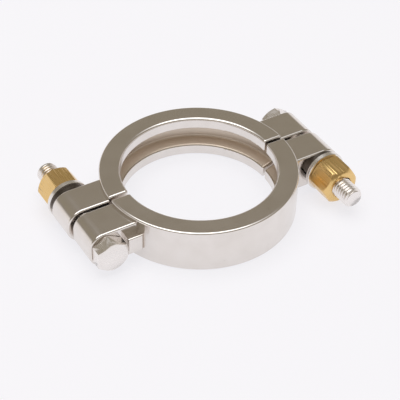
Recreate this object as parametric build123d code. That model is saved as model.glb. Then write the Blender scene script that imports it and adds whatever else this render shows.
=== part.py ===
from build123d import *
import math
import os

# Two-bolt sanitary clamp for a pair of 3 inch ferrules.
# Origin on the ring axis at the bottom face, +Z up the ring axis, X along the
# split line through the ears, Y along the bolts. Millimetres.

# ---- ring ----
lip_radius = 41.0  # bore between the lips and the tube beside the ferrule
ring_height = 24.5
groove_depth = 6.0  # lips to the root of the V groove
ring_wall = 5.0  # root of the groove to the outside
groove_mouth = 11.5  # groove width at the lips
flank_angle = 20.0  # each flank of the groove, from the plane of the ring
split_gap = 2.0  # between the split faces when tight on the ferrules
ring_edge_round = 1.1
lip_edge_round = 1.4
groove_root_round = 1.0

# ---- ears ----
bolt_reach = 12.5  # outside of the ring to the bolt axis
ear_height = 20.0
head_ear_reach = 9.3  # bolt axis to the tip of the ear under a bolt head
nut_ear_reach = 11.3  # the ear under a nut reaches further
head_ear_flat = 4.4  # left on the tip between its rounded corners
nut_ear_flat = 0.8
head_ear_face = 20.2  # split plane to the face under the bolt head
nut_ear_face = 19.0  # split plane to the face under the washers
split_edge_round = 1.0
ear_edge_round = 1.0
bolt_hole_clearance = 0.5  # radial

# ---- 7/16 inch fasteners, 14 threads per inch ----
thread_radius = 5.556
thread_tip_chamfer = 1.0
bolt_length = 69.85  # under the head
head_flats = 19.05
head_height = 7.0
head_seat_height = 0.5  # washer face under the hexagon
head_seat_radius = 8.9
head_face_radius = 9.0  # flat left on the head by its crown chamfer
hex_chamfer_angle = 30.0
nut_flats = 19.05
nut_length = 14.7
nut_face_radius = 8.8
nut_thread_clearance = 0.05  # radial, on the thread crests
nut_lead_chamfer = 0.6
nut_turn = 30.0  # degrees about the bolt, from flats across X

# ---- washers ----
lock_washer_outer_radius = 9.85
lock_washer_thickness = 2.8
lock_washer_slot = 1.4
lock_washer_slot_angle = 20.0
flat_washer_outer_radius = 11.3
flat_washer_thickness = 2.4
flat_washer_edge = 0.3
washer_bore_clearance = 0.25  # radial, on the bolt

# ---- stop lug beside the bolt head ----
lug_clearance = 0.4  # lug to the hexagon's flat
lug_width = 8.0
lug_height = 10.0
lug_reach = 4.6  # out from the ear face
lug_edge_round = 0.8

# ---- what follows from the above ----
mid_height = ring_height / 2
groove_radius = lip_radius + groove_depth
ring_outer_radius = groove_radius + ring_wall
bolt_offset = ring_outer_radius + bolt_reach
head_ear_end = bolt_offset + head_ear_reach
nut_ear_end = bolt_offset + nut_ear_reach
head_ear_corner = (ear_height - head_ear_flat) / 2
nut_ear_corner = (ear_height - nut_ear_flat) / 2
half_gap = split_gap / 2
flank_depth = groove_depth * math.tan(math.radians(flank_angle))
groove_root_width = groove_mouth - 2 * flank_depth
wall_mid_radius = (groove_radius + ring_outer_radius) / 2
bolt_hole_radius = thread_radius + bolt_hole_clearance
washer_bore_radius = thread_radius + washer_bore_clearance
flat_seat = nut_ear_face + lock_washer_thickness
nut_seat = flat_seat + flat_washer_thickness
lug_start = bolt_offset - head_flats / 2 - lug_clearance
seat_align = (Align.CENTER, Align.CENTER, Align.MIN)


def ring_half():
    """The channel section swept half a turn behind the split plane."""
    low_mouth = mid_height - groove_mouth / 2
    low_root = mid_height - groove_root_width / 2
    outline = Polyline(
        (lip_radius, 0),
        (ring_outer_radius, 0),
        (ring_outer_radius, ring_height),
        (lip_radius, ring_height),
        (lip_radius, ring_height - low_mouth),
        (groove_radius, ring_height - low_root),
        (groove_radius, low_root),
        (lip_radius, low_mouth),
        close=True,
    )
    section = make_face(outline)
    for radius, rounding in (
        (ring_outer_radius, ring_edge_round),
        (lip_radius, lip_edge_round),
        (groove_radius, groove_root_round),
    ):
        corners = [v for v in section.vertices() if abs(v.X - radius) < 0.01]
        section = fillet(corners, rounding)
    ring = revolve(Plane.XZ * section, Axis.Z, 360)
    side = 2 * ring_outer_radius
    rear = Pos(0, half_gap + side / 2, mid_height) * Box(2 * side, side, side)
    half = ring & rear
    ends = half.edges().group_by(Axis.Y)[0]
    return fillet(ends, split_edge_round)


def ear(face, end, corner):
    """A round-ended ear for x > 0, from the split face out to its bolt face."""
    inner = wall_mid_radius * 0.6
    length = end - inner
    section = Pos(inner + length / 2, 0) * Rectangle(length, ear_height)
    tips = [v for v in section.vertices() if v.X > inner + 1]
    section = fillet(tips, corner)
    body = extrude(section, face - half_gap)
    for end, rounding in ((0, split_edge_round), (-1, ear_edge_round)):
        rim = body.edges().group_by(Axis.Z)[end]
        rim = [e for e in rim if e.bounding_box().max.X > inner + 1]
        body = fillet(rim, rounding)
    body = Pos(0, half_gap, mid_height) * Rot(-90, 0, 0) * body
    core = Cylinder(wall_mid_radius, 4 * ring_height)
    return body - core


def stop_lug():
    """The block that keeps the hexagon from turning, for x > 0."""
    width = lug_width
    block = Box(width, lug_reach + ear_edge_round, lug_height)
    rim = block.edges().group_by(Axis.Y)[-1]
    block = fillet(rim, lug_edge_round)
    y = head_ear_face + (lug_reach - ear_edge_round) / 2
    return Pos(lug_start - width / 2, y, mid_height) * block


def half_shell_rear():
    """One casting: half ring, ear for a bolt head at +X, ear for a nut at -X."""
    head_ear = ear(head_ear_face, head_ear_end, head_ear_corner)
    nut_ear = mirror(ear(nut_ear_face, nut_ear_end, nut_ear_corner), Plane.YZ)
    shell = ring_half() + head_ear + nut_ear
    shell += stop_lug()
    for x in (bolt_offset, -bolt_offset):
        hole = Cylinder(bolt_hole_radius, 4 * head_ear_face)
        shell -= along_y(hole, x, 0)
    return shell


def hexagon(flats, height):
    """A hexagonal prism up +Z with two flats across X."""
    profile = RegularPolygon(flats / 2, 6, major_radius=False, rotation=30)
    return extrude(profile, height)


def crown(face_radius, height):
    """A turned blank whose cone takes the corners off a hexagon's top face."""
    reach = 2 * face_radius
    drop = (reach - face_radius) * math.tan(math.radians(hex_chamfer_angle))
    outline = Polyline(
        (0, height - 2 * drop - reach),
        (reach, height - 2 * drop - reach),
        (reach, height - drop),
        (face_radius, height),
        (0, height),
        close=True,
    )
    return revolve(Plane.XZ * make_face(outline), Axis.Z, 360)


def bolt():
    """A hexagon bolt up +Z from the seat under its head at z = 0."""
    seat = Cylinder(head_seat_radius, head_seat_height, align=seat_align)
    head = hexagon(head_flats, head_height) & crown(head_face_radius, head_height)
    head = Rot(180, 0, 0) * (Pos(0, 0, head_seat_height) * head + seat)
    shank = Cylinder(thread_radius, bolt_length, align=seat_align)
    tip = shank.edges().group_by(Axis.Z)[-1]
    return head + chamfer(tip, thread_tip_chamfer)


def nut():
    """A long hexagon nut up +Z, chamfered at both ends."""
    blank = crown(nut_face_radius, nut_length)
    flipped = Pos(0, 0, nut_length) * Rot(180, 0, 0) * blank
    body = hexagon(nut_flats, nut_length) & blank & flipped
    body = Rot(0, 0, nut_turn) * body
    bore_radius = thread_radius + nut_thread_clearance
    body -= Cylinder(bore_radius, nut_length, align=seat_align)
    mouths = body.edges().filter_by(GeomType.CIRCLE)
    mouths = [e for e in mouths if e.radius < bore_radius + 0.01]
    return chamfer(mouths, nut_lead_chamfer)


def flat_washer():
    """A plain washer up +Z with its rim eased."""
    disc = Cylinder(flat_washer_outer_radius, flat_washer_thickness, align=seat_align)
    disc = chamfer(disc.edges(), flat_washer_edge)
    return disc - Cylinder(washer_bore_radius, flat_washer_thickness, align=seat_align)


def lock_washer():
    """A spring washer up +Z, drawn flat, with its slanted slot."""
    height = lock_washer_thickness
    ring = Cylinder(lock_washer_outer_radius, height, align=seat_align)
    ring -= Cylinder(washer_bore_radius, height, align=seat_align)
    slot = Box(lock_washer_outer_radius, lock_washer_slot, 4 * height)
    slot = Pos(lock_washer_outer_radius, 0, height / 2) * (
        Rot(lock_washer_slot_angle, 0, 0) * slot
    )
    return ring - slot


def along_y(shape, x, y):
    """A shape drawn up +Z, laid along +Y with its base at y on a bolt axis."""
    return Pos(x, y, mid_height) * Rot(-90, 0, 0) * shape


def half_turn(shape):
    """The same piece on the other side of the ring axis."""
    return Rot(0, 0, 180) * shape


shell_rear = half_shell_rear()
bolt_left = along_y(bolt(), -bolt_offset, -head_ear_face)
lock_left = along_y(lock_washer(), -bolt_offset, nut_ear_face)
flat_left = along_y(flat_washer(), -bolt_offset, flat_seat)
nut_left = along_y(nut(), -bolt_offset, nut_seat)

pieces = {
    "half_shell_rear": shell_rear,
    "half_shell_front": half_turn(shell_rear),
    "bolt_left": bolt_left,
    "bolt_right": half_turn(bolt_left),
    "lock_washer_left": lock_left,
    "lock_washer_right": half_turn(lock_left),
    "flat_washer_left": flat_left,
    "flat_washer_right": half_turn(flat_left),
    "nut_left": nut_left,
    "nut_right": half_turn(nut_left),
}

os.makedirs("parts", exist_ok=True)
for name, piece in pieces.items():
    export_step(piece, f"parts/{name}.step")
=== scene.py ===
import math

import bmesh
import bpy
from mathutils import Matrix, Vector


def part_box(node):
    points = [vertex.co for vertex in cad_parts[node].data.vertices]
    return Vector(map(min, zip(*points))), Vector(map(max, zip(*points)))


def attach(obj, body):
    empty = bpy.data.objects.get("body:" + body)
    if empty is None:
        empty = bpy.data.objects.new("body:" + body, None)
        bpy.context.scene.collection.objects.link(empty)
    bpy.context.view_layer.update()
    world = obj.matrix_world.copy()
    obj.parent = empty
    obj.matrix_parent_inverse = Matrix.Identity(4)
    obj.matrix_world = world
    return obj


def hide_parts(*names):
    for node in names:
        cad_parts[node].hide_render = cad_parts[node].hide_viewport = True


bl_info = {
    "name": "Two-bolt sanitary clamp",
    "version": (1, 0, 0),
    "blender": (4, 5, 0),
    "location": "3D View > Sidebar > Clamp",
    "description": "Finishes and studio for a cast two-bolt clamp",
    "category": "Object",
}

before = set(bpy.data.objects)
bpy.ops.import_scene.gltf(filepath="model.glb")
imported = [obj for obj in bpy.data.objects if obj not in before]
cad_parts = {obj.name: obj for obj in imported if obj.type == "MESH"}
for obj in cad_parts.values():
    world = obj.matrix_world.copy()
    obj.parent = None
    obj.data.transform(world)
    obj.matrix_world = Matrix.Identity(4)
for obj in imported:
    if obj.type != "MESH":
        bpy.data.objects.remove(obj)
MM = 0.001
MM_PER_INCH = 25.4
CASTINGS = ("half_shell_front", "half_shell_rear")
WASHERS = (
    "lock_washer_left", "lock_washer_right",
    "flat_washer_left", "flat_washer_right",
)
# node, body and the way from its seat to its outer end
NUTS = (("nut_left", "nut_left", 1.0), ("nut_right", "nut_right", -1.0))
# node, body and the way from its head to its tip
BOLTS = (
    ("bolt_left", "front_half", 1.0),
    ("bolt_right", "rear_half", -1.0),
)


# ---------------------------------------------------------------- settings

class CLAMP_PG_thread(bpy.types.PropertyGroup):
    """The screw thread cut on both bolts."""

    pitch: bpy.props.FloatProperty(
        name="Pitch", description="Distance from crest to crest",
        default=MM_PER_INCH / 14 * MM, min=0.5 * MM, unit="LENGTH", precision=5,
    )
    depth: bpy.props.FloatProperty(
        name="Depth", description="Crest to root, measured on the radius",
        default=1.0 * MM, unit="LENGTH", precision=5,
    )
    length: bpy.props.FloatProperty(
        name="Length", description="Threaded length from the tip",
        default=30.0 * MM, unit="LENGTH", precision=4,
    )
    crest_share: bpy.props.FloatProperty(
        name="Crest", description="Flat of the crest as a share of the pitch",
        default=0.16, min=0.05, max=0.5,
    )
    steps: bpy.props.IntProperty(
        name="Steps", description="Segments in one turn", default=40, min=12,
    )


class CLAMP_PG_form(bpy.types.PropertyGroup):
    """Forms that the dressed fasteners add to the plain solids."""

    head_share: bpy.props.FloatProperty(
        name="Head share", description="Dressed head width as a share of the solid's",
        default=0.84, min=0.7, max=1.0,
    )
    nut_round: bpy.props.FloatProperty(
        name="Nut rounding",
        description="Length over which the nut's corners fall away",
        default=3.6 * MM, unit="LENGTH", precision=5,
    )
    nut_face: bpy.props.FloatProperty(
        name="Nut face",
        description="Radius of the outer face as a share of the corners'",
        default=0.76, min=0.6, max=1.0,
    )
    nut_seat: bpy.props.FloatProperty(
        name="Nut seat", description="Rounding at the seat as a share of the outer one",
        default=0.55, min=0.1, max=1.0,
    )
    edge_angle: bpy.props.FloatProperty(
        name="Edge angle", description="Faces that meet at more than this stay crisp",
        default=math.radians(18), subtype="ANGLE",
    )
    lathe_steps: bpy.props.IntProperty(
        name="Lathe steps", description="Segments round the nut", default=96, min=24,
    )


class CLAMP_PG_finish(bpy.types.PropertyGroup):
    """Finishes of the metals."""

    cast_roughness: bpy.props.FloatProperty(
        name="Casting roughness", description="Blur of the polished castings",
        default=0.17, min=0.0, max=1.0,
    )
    lip_radius: bpy.props.FloatProperty(
        name="Lip radius", description="Bore between the lips, where the polish ends",
        default=41.0 * MM, unit="LENGTH", precision=4,
    )
    groove_root: bpy.props.FloatProperty(
        name="Groove root", description="Radius of the root of the groove",
        default=47.0 * MM, unit="LENGTH", precision=4,
    )
    groove_mouth: bpy.props.FloatProperty(
        name="Groove mouth", description="Width of the groove at the lips",
        default=11.5 * MM, unit="LENGTH", precision=4,
    )
    steel_roughness: bpy.props.FloatProperty(
        name="Steel roughness", description="Blur of bolts and washers",
        default=0.26, min=0.0, max=1.0,
    )
    brass_roughness: bpy.props.FloatProperty(
        name="Brass roughness", description="Blur of the nuts",
        default=0.27, min=0.0, max=1.0,
    )


class CLAMP_PG_stage(bpy.types.PropertyGroup):
    """Camera and light."""

    azimuth: bpy.props.FloatProperty(
        name="Azimuth", description="Camera bearing, 0 looks along +Y",
        default=math.radians(-31.6), subtype="ANGLE",
    )
    elevation: bpy.props.FloatProperty(
        name="Elevation", description="Camera height above the horizon",
        default=math.radians(40.79), subtype="ANGLE",
    )
    roll: bpy.props.FloatProperty(
        name="Roll", description="Turn about the line of sight",
        default=math.radians(1.4), subtype="ANGLE",
    )
    distance: bpy.props.FloatProperty(
        name="Distance", description="Camera to ring axis",
        default=656.0 * MM, unit="LENGTH",
    )
    lens: bpy.props.FloatProperty(
        name="Lens", description="Focal length in millimetres", default=111.1,
    )
    shift_right: bpy.props.FloatProperty(
        name="Shift right", description="Camera moved sideways",
        default=1.0 * MM, unit="LENGTH", precision=5,
    )
    shift_up: bpy.props.FloatProperty(
        name="Shift up", description="Camera moved up in its own plane",
        default=1.2 * MM, unit="LENGTH", precision=5,
    )
    floor_glow: bpy.props.FloatProperty(
        name="Floor glow",
        description="Light of its own that the camera sees in the sheet",
        default=1.06, min=0.0,
    )
    floor_share: bpy.props.FloatProperty(
        name="Floor share", description="How far that light lifts the shadows",
        default=0.7, min=0.0, max=1.0,
    )
    key_power: bpy.props.FloatProperty(
        name="Key light", description="Power of the overhead softbox",
        default=3.0, unit="POWER",
    )


# --------------------------------------------------------------- materials

# every metal
CLOUD_MM = 9.0  # size of the patches over which its tone drifts
GLOSS_DRIFT = (0.85, 1.2)  # least and most roughness, as shares of the one given
MARK_SLENDER = 0.02  # width of a tool mark as a share of its length
MARK_STRENGTH = 0.5
# sockets of the Mix node when it mixes colours
MIX_A, MIX_B, MIX_RESULT = 6, 7, 2
# the groove of the castings; its darker tone is painted shade, its added roughness is
# the unpolished casting
GROOVE_SHADE_TONE = "#D6C9BA"
GROOVE_ROUGHNESS = 0.2  # added to that of the polished outside
GROOVE_EDGE = 0.3 * MM  # behind the lips, and past the root and the mouth
# the pits of the castings
PIT_TONE = "#6E655D"
PIT_CELL_MM = 7.0
PIT_RADIUS = 0.045  # as a share of its cell
PIT_ABOVE = 0.8  # a cell holds a pit where its chance, from 0 to 1, is above this


def linear(code):
    """An sRGB hex code as linear RGBA."""
    out = []
    for i in (1, 3, 5):
        c = int(code[i:i + 2], 16) / 255
        out.append(c / 12.92 if c <= 0.04045 else ((c + 0.055) / 1.055) ** 2.4)
    return (*out, 1.0)


def add(tree, kind, values=None, links=None, **settings):
    """A node with its settings, its socket values and what feeds it."""
    node = tree.nodes.new(kind)
    for key, value in settings.items():
        setattr(node, key, value)
    for key, value in (values or {}).items():
        node.inputs[key].default_value = value
    for key, source in (links or {}).items():
        tree.links.new(source, node.inputs[key])
    return node


def per_mm(size_mm):
    """Texture scale for a pattern whose feature is size_mm across."""
    return 1000.0 / size_mm


def metal(name, dark, light, roughness, grain_mm, bump_mm, line_mm, line_axis,
          mark_mm):
    """A metal whose tone and gloss drift over it, with fine directional marks.

    dark and light are the ends of its tone; grain_mm is the soft unevenness of
    the surface, bump_mm its height; line_mm is the pitch of the tool marks,
    which run square to line_axis, and mark_mm their depth.
    """
    material = bpy.data.materials.new(name)
    material.use_nodes = True
    tree = material.node_tree
    tree.nodes.clear()
    where = add(tree, "ShaderNodeTexCoord").outputs["Object"]
    cloud = add(tree, "ShaderNodeTexNoise", {"Scale": per_mm(CLOUD_MM), "Detail": 3.0},
                {"Vector": where})
    grain = add(tree, "ShaderNodeTexNoise", {"Scale": per_mm(grain_mm), "Detail": 2.0},
                {"Vector": where})
    stretch = [per_mm(line_mm) * (1.0 if i == line_axis else MARK_SLENDER)
               for i in range(3)]
    along = add(tree, "ShaderNodeMapping", {"Scale": stretch}, {"Vector": where})
    lines = add(tree, "ShaderNodeTexNoise", {"Scale": 1.0, "Detail": 2.0},
                {"Vector": along.outputs["Vector"]})
    tone = add(tree, "ShaderNodeMix", {MIX_A: linear(dark), MIX_B: linear(light)},
               {"Factor": cloud.outputs["Fac"]}, data_type="RGBA")
    gloss = add(tree, "ShaderNodeMapRange",
                {"To Min": roughness * GLOSS_DRIFT[0],
                 "To Max": roughness * GLOSS_DRIFT[1]},
                {"Value": lines.outputs["Fac"]})
    soft = add(tree, "ShaderNodeBump", {"Strength": 1.0, "Distance": bump_mm * MM},
               {"Height": grain.outputs["Fac"]})
    marks = add(tree, "ShaderNodeBump",
                {"Strength": MARK_STRENGTH, "Distance": mark_mm * MM},
                {"Height": lines.outputs["Fac"], "Normal": soft.outputs["Normal"]})
    shader = add(tree, "ShaderNodeBsdfPrincipled", {"Metallic": 1.0},
                 {"Base Color": tone.outputs[MIX_RESULT],
                  "Roughness": gloss.outputs["Result"],
                  "Normal": marks.outputs["Normal"]})
    add(tree, "ShaderNodeOutputMaterial", links={"Surface": shader.outputs["BSDF"]})
    return material


def shade_groove_and_pit(material, settings, middle):
    """Darkens the groove with painted shade, leaves it rougher than the polished
    outside and adds a few pits.
    """
    tree = material.node_tree
    kinds = {node.bl_idname: node for node in tree.nodes}
    shader = kinds["ShaderNodeBsdfPrincipled"]
    where = kinds["ShaderNodeTexCoord"].outputs["Object"]
    colour = shader.inputs["Base Color"].links[0].from_socket
    gloss = shader.inputs["Roughness"].links[0].from_socket

    def math_node(operation, values=None, links=None):
        node = add(tree, "ShaderNodeMath", values, links, operation=operation)
        return node.outputs["Value"]

    split = add(tree, "ShaderNodeSeparateXYZ", links={"Vector": where})
    flat = add(tree, "ShaderNodeCombineXYZ",
               links={"X": split.outputs["X"], "Y": split.outputs["Y"]})
    radius = add(tree, "ShaderNodeVectorMath", links={0: flat.outputs["Vector"]},
                 operation="LENGTH").outputs["Value"]
    height = math_node("ABSOLUTE", links={
        0: math_node("SUBTRACT", {1: middle}, {0: split.outputs["Z"]}),
    })
    within = (
        math_node("LESS_THAN", {1: settings.groove_root + GROOVE_EDGE}, {0: radius}),
        math_node("GREATER_THAN", {1: settings.lip_radius + GROOVE_EDGE}, {0: radius}),
        math_node("LESS_THAN", {1: settings.groove_mouth / 2 + GROOVE_EDGE},
                  {0: height}),
    )
    groove = math_node("MULTIPLY", links={
        0: math_node("MULTIPLY", links={0: within[0], 1: within[1]}), 1: within[2],
    })
    # painted shade: the groove's tone is darkened as if the recess lay in shade
    groove_shaded = add(tree, "ShaderNodeMix", {MIX_B: linear(GROOVE_SHADE_TONE)},
               {"Factor": groove, MIX_A: colour}, data_type="RGBA").outputs[MIX_RESULT]
    rough = math_node("MULTIPLY_ADD", {1: GROOVE_ROUGHNESS}, {0: groove, 2: gloss})
    # each cell has a chance of its own, so the pits are few and scattered
    cells = add(tree, "ShaderNodeTexVoronoi", {"Scale": per_mm(PIT_CELL_MM)},
                {"Vector": where})
    chance = add(tree, "ShaderNodeSeparateColor",
                 links={"Color": cells.outputs["Color"]})
    pit = math_node("MULTIPLY", links={
        0: math_node("LESS_THAN", {1: PIT_RADIUS}, {0: cells.outputs["Distance"]}),
        1: math_node("GREATER_THAN", {1: PIT_ABOVE}, {0: chance.outputs["Red"]}),
    })
    pitted = add(tree, "ShaderNodeMix", {MIX_B: linear(PIT_TONE)},
                 {"Factor": pit, MIX_A: groove_shaded}, data_type="RGBA").outputs[MIX_RESULT]
    tree.links.new(pitted, shader.inputs["Base Color"])
    tree.links.new(rough, shader.inputs["Roughness"])


def give(obj, material):
    """Puts one material on every slot of an object."""
    obj.data.materials.clear()
    obj.data.materials.append(material)


# ----------------------------------------------------------------- pieces

WELD_DISTANCE = 0.001 * MM
# the barrel that a nut is turned down to
BARREL_CLEAR = 1.01  # radius of its middle as a share of the nut's corners
BARREL_SPILL = 0.2 * MM  # past each end of the nut
BARREL_STATIONS = 9  # points along each rounding
# the cutter of the thread
CUTTER_SPILL = 0.3 * MM  # out of the shank
ROOT_HALF = 0.06  # half the flat of the root, as a share of the pitch
RUN_OUT = 1.4  # lift of the cutter where the thread starts, in thread depths
# how the plain bolt is read
HEAD_FROM = 1.1  # what is further from the axis, in shank radii, is head
TIP_ZONE = (0.2 * MM, 3 * MM)  # distances from the tip where the shank is read


def loose_copy(node, suffix):
    """A copy of a node's mesh that can be shaped without touching the node."""
    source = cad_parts[node]
    copy = source.copy()
    copy.data = source.data.copy()
    copy.name = node + suffix
    copy.parent = None
    copy.matrix_world = Matrix.Identity(4)
    # the node's own marks stay with the node
    for key in list(copy.keys()):
        del copy[key]
    bpy.context.scene.collection.objects.link(copy)
    return copy


def shape(piece, tool, operation, edge_angle):
    """Cuts a piece with a tool, keeps the result as its mesh and shades it."""
    bpy.context.scene.collection.objects.link(tool)
    weld = piece.modifiers.new("weld", "WELD")
    weld.merge_threshold = WELD_DISTANCE
    cut = piece.modifiers.new("cut", "BOOLEAN")
    cut.operation = operation
    cut.solver = "EXACT"
    cut.object = tool
    bpy.context.view_layer.update()
    graph = bpy.context.evaluated_depsgraph_get()
    result = bpy.data.meshes.new_from_object(piece.evaluated_get(graph))
    piece.modifiers.clear()
    piece.data = result
    bpy.data.objects.remove(tool)
    for polygon in result.polygons:
        polygon.use_smooth = True
    result.set_sharp_from_angle(angle=edge_angle)


def tube(name, rings):
    """A closed solid through rings that have as many points each."""
    mesh = bmesh.new()
    rings = [[mesh.verts.new(point) for point in ring] for ring in rings]
    for a, b in zip(rings, rings[1:]):
        for i in range(len(a)):
            j = (i + 1) % len(a)
            mesh.faces.new((a[i], a[j], b[j], b[i]))
    mesh.faces.new(rings[0][::-1])
    mesh.faces.new(rings[-1])
    bmesh.ops.recalc_face_normals(mesh, faces=mesh.faces)
    data = bpy.data.meshes.new(name)
    mesh.to_mesh(data)
    mesh.free()
    return bpy.data.objects.new(name, data)


def lathe(name, profile, steps):
    """A closed solid of revolution about Y from (radius, y) points."""
    turn = [2 * math.pi * (i + 0.5) / steps for i in range(steps)]
    return tube(name, [
        [(radius * math.cos(t), y, radius * math.sin(t)) for t in turn]
        for radius, y in profile
    ])


def rounded_nut(node, body, way, form):
    """The node's own nut with its corners turned away towards both ends."""
    low, high = (Vector(v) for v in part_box(node))
    centre = (low + high) / 2
    seat, outer = (low.y, high.y) if way > 0 else (high.y, low.y)
    corner = max(high.x - low.x, high.z - low.z) / 2
    clear = corner * BARREL_CLEAR
    fall = clear - corner * form.nut_face
    share = form.nut_seat
    steps = [k / (BARREL_STATIONS - 1) for k in range(BARREL_STATIONS)]
    profile = [
        *((clear - fall * share * (1 - t) ** 2, seat + way * form.nut_round * share * t)
          for t in steps),
        *((clear - fall * (1 - t) ** 2, outer - way * form.nut_round * t)
          for t in reversed(steps)),
    ]
    profile = [(profile[0][0], seat - way * BARREL_SPILL), *profile,
               (profile[-1][0], outer + way * BARREL_SPILL)]
    nut = loose_copy(node, "_rounded")
    barrel = lathe("nut_barrel", profile, form.lathe_steps)
    barrel.location = (centre.x, 0, centre.z)
    shape(nut, barrel, "INTERSECT", form.edge_angle)
    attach(nut, body)
    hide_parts(node)
    return nut


def helix_cutter(radius, tip, way, thread):
    """The V groove of a right-hand thread as a closed tube along +Y or -Y."""
    turns = thread.length / thread.pitch
    half = thread.pitch * (1 - thread.crest_share) / 2
    flare = half * (1 + CUTTER_SPILL / thread.depth)
    section = (
        (radius + CUTTER_SPILL, -flare),
        (radius - thread.depth, -ROOT_HALF * thread.pitch),
        (radius - thread.depth, ROOT_HALF * thread.pitch),
        (radius + CUTTER_SPILL, flare),
    )
    rings = []
    for i in range(int(turns * thread.steps) + 1):
        angle = 2 * math.pi * i / thread.steps
        back = thread.length - thread.pitch * i / thread.steps
        middle = tip - way * (back - thread.pitch)
        # the groove runs out of the shank over its first turn
        lift = max(0.0, 1.0 - i / thread.steps) * thread.depth * RUN_OUT
        rings.append([
            ((r + lift) * math.cos(angle), middle + way * offset,
             -way * (r + lift) * math.sin(angle))
            for r, offset in section
        ])
    return tube("thread_groove", rings)


def threaded_bolt(node, body, way, thread, form):
    """The node's own bolt with its head drawn in and its thread cut."""
    low, high = (Vector(v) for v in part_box(node))
    centre = (low + high) / 2
    tip = high.y if way > 0 else low.y
    bolt = loose_copy(node, "_threaded")
    radius = shank_radius(bolt.data, centre, tip)
    for vertex in bolt.data.vertices:
        x, z = vertex.co.x - centre.x, vertex.co.z - centre.z
        if math.hypot(x, z) > radius * HEAD_FROM:
            vertex.co.x = centre.x + x * form.head_share
            vertex.co.z = centre.z + z * form.head_share
    cutter = helix_cutter(radius, tip, way, thread)
    cutter.location = (centre.x, 0, centre.z)
    shape(bolt, cutter, "DIFFERENCE", form.edge_angle)
    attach(bolt, body)
    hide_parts(node)
    return bolt


def shank_radius(data, centre, tip):
    """Crest radius, read where the shank meets the chamfer at its tip."""
    first, last = TIP_ZONE
    near = [v.co for v in data.vertices if first < abs(v.co.y - tip) < last]
    return max(math.hypot(c.x - centre.x, c.z - centre.z) for c in near)


class CLAMP_OT_castings(bpy.types.Operator):
    """Give both half shells their polished cast finish"""

    bl_idname = "clamp.castings"
    bl_label = "Finish castings"

    def execute(self, context):
        settings = context.scene.clamp_finish
        # soft mirror with a faint unevenness, as polishing leaves a casting
        steel = metal(
            "polished cast stainless steel", "#E0DAD4", "#ECE7E3",
            settings.cast_roughness, grain_mm=3.2, bump_mm=0.012,
            line_mm=0.35, line_axis=2, mark_mm=0.003,
        )
        low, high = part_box(CASTINGS[0])
        shade_groove_and_pit(steel, settings, (low[2] + high[2]) / 2)
        for node in CASTINGS:
            give(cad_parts[node], steel)
        return {"FINISHED"}


class CLAMP_OT_washers(bpy.types.Operator):
    """Give the washers their steels"""

    bl_idname = "clamp.washers"
    bl_label = "Finish washers"

    def execute(self, context):
        settings = context.scene.clamp_finish
        # bright rolled edge of the plain washers
        plain = metal(
            "stamped stainless steel", "#E6E2DE", "#F3F0ED",
            settings.steel_roughness, grain_mm=1.5, bump_mm=0.008,
            line_mm=0.25, line_axis=1, mark_mm=0.002,
        )
        # darker tone of the spring washers
        spring = metal(
            "dark spring steel", "#544E48", "#6F6760",
            settings.steel_roughness * 1.3, grain_mm=1.2, bump_mm=0.01,
            line_mm=0.3, line_axis=1, mark_mm=0.003,
        )
        for node in WASHERS:
            give(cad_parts[node], spring if node.startswith("lock") else plain)
        return {"FINISHED"}


class CLAMP_OT_nuts(bpy.types.Operator):
    """Round both nuts and give them their machined brass"""

    bl_idname = "clamp.nuts"
    bl_label = "Finish nuts"

    def execute(self, context):
        settings = context.scene.clamp_finish
        # drawn hexagon bar, faint lines along the bolt, warm yellow
        brass = metal(
            "machined brass", "#E2BE7C", "#F1CF92",
            settings.brass_roughness, grain_mm=2.0, bump_mm=0.003,
            line_mm=0.9, line_axis=0, mark_mm=0.0002,
        )
        for node, body, way in NUTS:
            give(rounded_nut(node, body, way, context.scene.clamp_form), brass)
        return {"FINISHED"}


class CLAMP_OT_bolts(bpy.types.Operator):
    """Cut the thread on both bolts and finish them"""

    bl_idname = "clamp.bolts"
    bl_label = "Thread bolts"

    def execute(self, context):
        settings = context.scene.clamp_finish
        # satin cold-formed steel
        steel = metal(
            "satin stainless steel", "#EAE5E1", "#F7F3F0",
            settings.steel_roughness, grain_mm=1.8, bump_mm=0.003,
            line_mm=0.9, line_axis=2, mark_mm=0.0002,
        )
        thread, form = context.scene.clamp_thread, context.scene.clamp_form
        for node, body, way in BOLTS:
            give(threaded_bolt(node, body, way, thread, form), steel)
        return {"FINISHED"}


# ------------------------------------------------------------------ stage

SENSOR_MM = 36.0
FLOOR_HALF = 3.0  # metres, like the sizes and places below
FLOOR_TONE = "#F4F0F0"
FLOOR_GLOW_TONE = "#FAFAFF"
# height of the direction, 0 level and 1 straight up, and the room's tone there
ROOM = (
    (0.00, "#F6F2F0"),
    (0.16, "#F6F2F0"),
    (0.30, "#8B8378"),
    (0.45, "#98907F"),
    (0.76, "#8E867A"),
    (0.86, "#FFFFFF"),
)
SOFTBOX_SIZE = (1.0, 0.8)
SOFTBOX_PLACE = (-0.1, 0.05, 0.9)


def make_camera(scene, settings):
    """A long lens at the bearing and height of the settings."""
    turn = Matrix.Rotation(settings.azimuth, 3, "Z")
    tilt = settings.elevation
    forward = turn @ Vector((0, math.cos(tilt), -math.sin(tilt)))
    right = turn @ Vector((1, 0, 0))
    up = turn @ Vector((0, math.sin(tilt), math.cos(tilt)))
    c, s = math.cos(settings.roll), math.sin(settings.roll)
    right, up = c * right + s * up, c * up - s * right
    data = bpy.data.cameras.new("camera")
    data.lens = settings.lens
    data.sensor_width = SENSOR_MM
    camera = bpy.data.objects.new("camera", data)
    matrix = Matrix((right, up, -forward)).transposed().to_4x4()
    matrix.translation = (
        right * settings.shift_right + up * settings.shift_up
        - forward * settings.distance
    )
    camera.matrix_world = matrix
    scene.collection.objects.link(camera)
    scene.camera = camera


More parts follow.
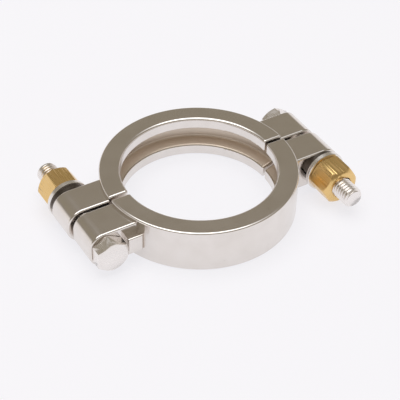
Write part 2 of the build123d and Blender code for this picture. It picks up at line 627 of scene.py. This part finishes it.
def make_floor(scene, settings):
    """A pale seamless sheet under the clamp."""
    half = FLOOR_HALF
    data = bpy.data.meshes.new("floor")
    corners = ((-half, -half, 0), (half, -half, 0), (half, half, 0), (-half, half, 0))
    data.from_pydata(corners, [], [(0, 1, 2, 3)])
    floor = bpy.data.objects.new("floor", data)
    scene.collection.objects.link(floor)
    material = bpy.data.materials.new("white studio sheet")
    material.use_nodes = True
    tree = material.node_tree
    tree.nodes.clear()
    path = add(tree, "ShaderNodeLightPath")
    sheet = add(tree, "ShaderNodeBsdfDiffuse", {"Color": linear(FLOOR_TONE)})
    # only the camera and mirrored rays see the sheet lifted towards white
    glow = add(tree, "ShaderNodeEmission",
               {"Color": linear(FLOOR_GLOW_TONE), "Strength": settings.floor_glow})
    lifted = add(tree, "ShaderNodeMath",
                 links={0: path.outputs["Is Camera Ray"],
                        1: path.outputs["Is Glossy Ray"]}, operation="MAXIMUM")
    share = add(tree, "ShaderNodeMath", {1: settings.floor_share},
                {0: lifted.outputs["Value"]}, operation="MULTIPLY")
    seen = add(tree, "ShaderNodeMixShader",
               links={0: share.outputs["Value"], 1: sheet.outputs["BSDF"],
                      2: glow.outputs["Emission"]})
    add(tree, "ShaderNodeOutputMaterial", links={"Surface": seen.outputs["Shader"]})
    give(floor, material)


def make_world(scene):
    """Grey room above a white horizon, bright again overhead."""
    world = bpy.data.worlds.new("studio")
    world.use_nodes = True
    scene.world = world
    tree = world.node_tree
    tree.nodes.clear()
    sight = add(tree, "ShaderNodeTexCoord").outputs["Generated"]
    split = add(tree, "ShaderNodeSeparateXYZ", links={"Vector": sight})
    ramp = add(tree, "ShaderNodeValToRGB", links={"Fac": split.outputs["Z"]})
    band = ramp.color_ramp
    while len(band.elements) < len(ROOM):
        band.elements.new(1.0)
    for element, (place, code) in zip(band.elements, ROOM):
        element.position = place
        element.color = linear(code)
    sky = add(tree, "ShaderNodeBackground", {"Strength": 1.0},
              {"Color": ramp.outputs["Color"]})
    add(tree, "ShaderNodeOutputWorld", links={"Surface": sky.outputs["Background"]})


def make_lights(scene, settings):
    """One broad softbox overhead."""
    data = bpy.data.lights.new("softbox", "AREA")
    data.shape = "RECTANGLE"
    data.size, data.size_y = SOFTBOX_SIZE
    data.energy = settings.key_power
    light = bpy.data.objects.new("softbox", data)
    light.location = SOFTBOX_PLACE
    scene.collection.objects.link(light)


class CLAMP_OT_stage(bpy.types.Operator):
    """Set up the camera, floor and light"""

    bl_idname = "clamp.stage"
    bl_label = "Set the stage"

    def execute(self, context):
        scene = context.scene
        settings = scene.clamp_stage
        make_camera(scene, settings)
        make_floor(scene, settings)
        make_world(scene)
        make_lights(scene, settings)
        scene.view_settings.view_transform = "Standard"
        return {"FINISHED"}


class CLAMP_PT_panel(bpy.types.Panel):
    """Settings and steps of the clamp"""

    bl_idname = "CLAMP_PT_panel"
    bl_label = "Clamp"
    bl_space_type = "VIEW_3D"
    bl_region_type = "UI"
    bl_category = "Clamp"

    def draw(self, context):
        layout = self.layout
        for group in GROUPS:
            settings = getattr(context.scene, group)
            box = layout.box()
            for key in settings.__annotations__:
                box.prop(settings, key)
        for step in OPERATORS:
            layout.operator(step.bl_idname)


GROUPS = {
    "clamp_thread": CLAMP_PG_thread,
    "clamp_form": CLAMP_PG_form,
    "clamp_finish": CLAMP_PG_finish,
    "clamp_stage": CLAMP_PG_stage,
}
OPERATORS = (
    CLAMP_OT_castings, CLAMP_OT_washers, CLAMP_OT_nuts, CLAMP_OT_bolts,
    CLAMP_OT_stage,
)


def register():
    """Adds the settings, the steps and the panel to Blender."""
    for cls in (*GROUPS.values(), *OPERATORS, CLAMP_PT_panel):
        bpy.utils.register_class(cls)
    for name, cls in GROUPS.items():
        setattr(bpy.types.Scene, name, bpy.props.PointerProperty(type=cls))


def unregister():
    """Takes them out again."""
    for name in GROUPS:
        delattr(bpy.types.Scene, name)
    for cls in (CLAMP_PT_panel, *reversed(OPERATORS), *GROUPS.values()):
        bpy.utils.unregister_class(cls)


def main():
    """Dresses the clamp."""
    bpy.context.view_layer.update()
    register()
    bpy.ops.clamp.castings()
    bpy.ops.clamp.washers()
    bpy.ops.clamp.nuts()
    bpy.ops.clamp.bolts()
    bpy.ops.clamp.stage()


if __name__ == "__main__":
    main()
